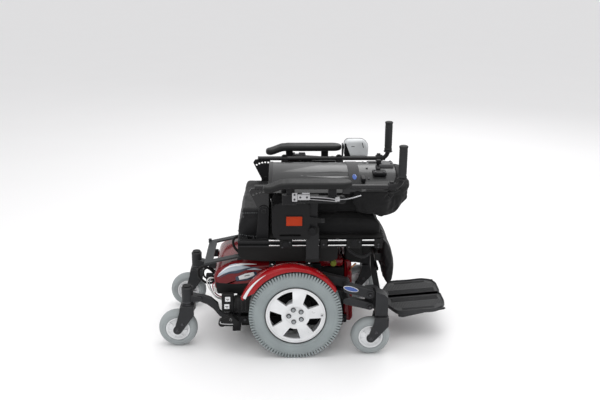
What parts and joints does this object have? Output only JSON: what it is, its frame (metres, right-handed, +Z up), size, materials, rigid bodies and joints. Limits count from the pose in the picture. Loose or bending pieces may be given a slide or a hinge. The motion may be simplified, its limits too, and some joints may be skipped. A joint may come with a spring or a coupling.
{
  "type": "power wheelchair",
  "caption": "Mid-wheel-drive power wheelchair with sprung caster arms, swivel casters, forward-folding back, lifting armrests, joystick and flip-up footplates.",
  "frame": {"origin": "on the floor, under the middle of the chair's length and width", "axes": "+X forwards (towards the footplates), +Y to the chair's left, +Z up"},
  "size_m": [1.1533, 0.618, 0.821],
  "materials": {
    "actuator_silver": "brushed tube",
    "arm_black": "textured powder coat",
    "arm_metal": "dark satin",
    "bar_slate": "slate powder coat",
    "battery_case": "semi-gloss",
    "cable_black": "matte jacket",
    "cane_silver": "plated tube",
    "caster_grey": "pale grey rubber",
    "chassis_black": "satin powder coat",
    "cover_black": "stiff textured cover",
    "fabric_black": "woven stretch cover",
    "fender_red": "red gloss",
    "foot_grey": "moulded, textured",
    "grip_rubber": "ribbed soft rubber",
    "guard_black": "fine grain",
    "handle_black": "satin black",
    "hanger_grey": "satin",
    "hub_pale": "pale moulded plastic",
    "lever_black": "matte",
    "motor_black": "satin black",
    "pad_black": "skinned foam",
    "pod_silver": "silver-grey moulding",
    "rail_aluminium": "anodised, satin",
    "red_gloss": "deep red gloss",
    "rim_silver": "silver paint",
    "shell_grey": "smooth grey shell",
    "stick_black": "matte",
    "tray_black": "moulded, fine grain",
    "tyre_grey": "grey non-marking rubber",
    "vinyl_black": "grained vinyl"
  },
  "bodies": {
    "base": {"chassis_frame": "chassis_black", "battery_box": "tray_black", "batteries": "battery_case", "shroud": "red_gloss", "front_panel": "red_gloss", "fenders": "fender_red", "bumper_bar": "bar_slate", "motor_right": "motor_black", "motor_left": "motor_black", "wiring_loom": "cable_black", "seat_stand": "tray_black", "tilt_actuator": "actuator_silver", "seat_frame": "rail_aluminium", "seat_pan": "tray_black", "seat_cushion": "fabric_black", "rear_cover": "cover_black", "back_brackets": "chassis_black"},
    "back": {"back_frame": "cane_silver", "back_shell": "shell_grey", "back_cushion": "fabric_black", "push_handles": "handle_black", "grips": "grip_rubber"},
    "joystick": {"joystick_pod": "pod_silver"},
    "stick": {"joystick_stick": "stick_black"},
    "legrest": {"legrest_hanger": "hanger_grey", "calf_pads": "vinyl_black"},
    "drive_wheel_right": {"drive_tyre_right": "tyre_grey", "drive_rim_right": "rim_silver"},
    "upper_arm_right": {"upper_link_right": "arm_black"},
    "lower_arm_right": {"lower_link_right": "arm_black"},
    "head_right": {"caster_head_right": "arm_black"},
    "front_fork_right_body": {"front_fork_right": "arm_black"},
    "front_wheel_right": {"front_tyre_right": "caster_grey", "front_hub_right": "hub_pale"},
    "rear_beam_right": {"rear_arm_right": "arm_black"},
    "rear_fork_right_body": {"rear_fork_right": "arm_black"},
    "rear_wheel_right": {"rear_tyre_right": "caster_grey", "rear_hub_right": "hub_pale"},
    "lever_right": {"release_lever_right": "lever_black"},
    "armrest_right": {"arm_frame_right": "arm_metal", "arm_pad_right": "pad_black", "side_guard_right": "guard_black"},
    "foot_right": {"footplate_right": "foot_grey"},
    "drive_wheel_left": {"drive_tyre_left": "tyre_grey", "drive_rim_left": "rim_silver"},
    "upper_arm_left": {"upper_link_left": "arm_black"},
    "lower_arm_left": {"lower_link_left": "arm_black"},
    "head_left": {"caster_head_left": "arm_black"},
    "front_fork_left_body": {"front_fork_left": "arm_black"},
    "front_wheel_left": {"front_tyre_left": "caster_grey", "front_hub_left": "hub_pale"},
    "rear_beam_left": {"rear_arm_left": "arm_black"},
    "rear_fork_left_body": {"rear_fork_left": "arm_black"},
    "rear_wheel_left": {"rear_tyre_left": "caster_grey", "rear_hub_left": "hub_pale"},
    "lever_left": {"release_lever_left": "lever_black"},
    "armrest_left": {"arm_frame_left": "arm_metal", "arm_pad_left": "pad_black", "side_guard_left": "guard_black"},
    "foot_left": {"footplate_left": "foot_grey"}
  },
  "joints": [
    {"name": "drive_spin_right", "type": "hinge", "parent": "base", "child": "drive_wheel_right", "pos_m": [-0.03766, -0.264, 0.178], "axis": [0, 1, 0], "continuous": true},
    {"name": "front_arm_right", "type": "hinge", "parent": "base", "child": "upper_arm_right", "pos_m": [0.01734, -0.201, 0.312], "axis": [0, -1, 0], "range_deg": [0, 12], "stiffness_Nm_per_rad": 120, "springref_deg": -34.38},
    {"name": "lower_arm_right_turn", "type": "hinge", "parent": "base", "child": "lower_arm_right", "pos_m": [0.01734, -0.201, 0.261], "axis": [0, -1, 0], "range_deg": [0, 12]},
    {"name": "head_right_turn", "type": "hinge", "parent": "upper_arm_right", "child": "head_right", "pos_m": [0.24734, -0.253, 0.252], "axis": [0, -1, 0], "range_deg": [-12, 0]},
    {"name": "front_swivel_right", "type": "hinge", "parent": "head_right", "child": "front_fork_right_body", "pos_m": [0.29334, -0.256, 0.2], "axis": [0, 0, 1], "continuous": true},
    {"name": "front_spin_right", "type": "hinge", "parent": "front_fork_right_body", "child": "front_wheel_right", "pos_m": [0.25334, -0.256, 0.076], "axis": [0, 1, 0], "continuous": true},
    {"name": "rear_beam_right_turn", "type": "hinge", "parent": "base", "child": "rear_beam_right", "pos_m": [-0.27766, -0.176, 0.116], "axis": [0, 1, 0], "range_deg": [0, 10], "stiffness_Nm_per_rad": 150, "springref_deg": -34.38},
    {"name": "rear_swivel_right", "type": "hinge", "parent": "rear_beam_right", "child": "rear_fork_right_body", "pos_m": [-0.46066, -0.18, 0.2], "axis": [0, 0, 1], "continuous": true},
    {"name": "rear_spin_right", "type": "hinge", "parent": "rear_fork_right_body", "child": "rear_wheel_right", "pos_m": [-0.50066, -0.18, 0.076], "axis": [0, 1, 0], "continuous": true},
    {"name": "release_lever_right_turn", "type": "hinge", "parent": "base", "child": "lever_right", "pos_m": [-0.28766, -0.238, 0.14], "axis": [0, 1, 0], "range_deg": [0, 25]},
    {"name": "armrest_lift_right", "type": "slide", "parent": "base", "child": "armrest_right", "axis": [0, 0, 1], "range_m": [0, 0.08]},
    {"name": "footplate_flip_right", "type": "hinge", "parent": "legrest", "child": "foot_right", "pos_m": [0.33834, -0.004, 0.116], "axis": [-0.9962, 0, -0.0872], "range_deg": [0, 90]},
    {"name": "drive_spin_left", "type": "hinge", "parent": "base", "child": "drive_wheel_left", "pos_m": [-0.03766, 0.264, 0.178], "axis": [0, 1, 0], "continuous": true},
    {"name": "front_arm_left", "type": "hinge", "parent": "base", "child": "upper_arm_left", "pos_m": [0.01734, 0.201, 0.312], "axis": [0, -1, 0], "range_deg": [0, 12], "stiffness_Nm_per_rad": 120, "springref_deg": -34.38},
    {"name": "lower_arm_left_turn", "type": "hinge", "parent": "base", "child": "lower_arm_left", "pos_m": [0.01734, 0.201, 0.261], "axis": [0, -1, 0], "range_deg": [0, 12]},
    {"name": "head_left_turn", "type": "hinge", "parent": "upper_arm_left", "child": "head_left", "pos_m": [0.24734, 0.253, 0.252], "axis": [0, -1, 0], "range_deg": [-12, 0]},
    {"name": "front_swivel_left", "type": "hinge", "parent": "head_left", "child": "front_fork_left_body", "pos_m": [0.29334, 0.256, 0.2], "axis": [0, 0, 1], "continuous": true},
    {"name": "front_spin_left", "type": "hinge", "parent": "front_fork_left_body", "child": "front_wheel_left", "pos_m": [0.25334, 0.256, 0.076], "axis": [0, 1, 0], "continuous": true},
    {"name": "rear_beam_left_turn", "type": "hinge", "parent": "base", "child": "rear_beam_left", "pos_m": [-0.27766, 0.176, 0.116], "axis": [0, 1, 0], "range_deg": [0, 10], "stiffness_Nm_per_rad": 150, "springref_deg": -34.38},
    {"name": "rear_swivel_left", "type": "hinge", "parent": "rear_beam_left", "child": "rear_fork_left_body", "pos_m": [-0.46066, 0.18, 0.2], "axis": [0, 0, 1], "continuous": true},
    {"name": "rear_spin_left", "type": "hinge", "parent": "rear_fork_left_body", "child": "rear_wheel_left", "pos_m": [-0.50066, 0.18, 0.076], "axis": [0, 1, 0], "continuous": true},
    {"name": "release_lever_left_turn", "type": "hinge", "parent": "base", "child": "lever_left", "pos_m": [-0.28766, 0.238, 0.14], "axis": [0, 1, 0], "range_deg": [0, 25]},
    {"name": "armrest_lift_left", "type": "slide", "parent": "base", "child": "armrest_left", "axis": [0, 0, 1], "range_m": [0, 0.08]},
    {"name": "footplate_flip_left", "type": "hinge", "parent": "legrest", "child": "foot_left", "pos_m": [0.33834, 0.004, 0.116], "axis": [0.9962, 0, 0.0872], "range_deg": [0, 90]},
    {"name": "back_fold", "type": "hinge", "parent": "base", "child": "back", "pos_m": [-0.15666, 0, 0.573], "axis": [0, -1, 0], "range_deg": [0, 95]},
    {"name": "joystick_roll", "type": "hinge", "parent": "armrest_left", "child": "joystick", "pos_m": [0.22434, 0.262, 0.697], "axis": [1, 0, 0], "range_deg": [0, 90]},
    {"name": "stick_tilt", "type": "hinge", "parent": "joystick", "child": "stick", "pos_m": [0.23634, 0.264, 0.697], "axis": [0, 0, 1], "range_deg": [-18, 18], "stiffness_Nm_per_rad": 0.3},
    {"name": "legrest_raise", "type": "hinge", "parent": "base", "child": "legrest", "pos_m": [0.28034, 0, 0.44], "axis": [0, -1, 0], "range_deg": [0, 55]}
  ],
  "couplings": [
    {"joint": "lower_arm_right_turn", "follows": "front_arm_right", "ratio": 1},
    {"joint": "head_right_turn", "follows": "front_arm_right", "ratio": -1},
    {"joint": "lower_arm_left_turn", "follows": "front_arm_left", "ratio": 1},
    {"joint": "head_left_turn", "follows": "front_arm_left", "ratio": -1}
  ]
}
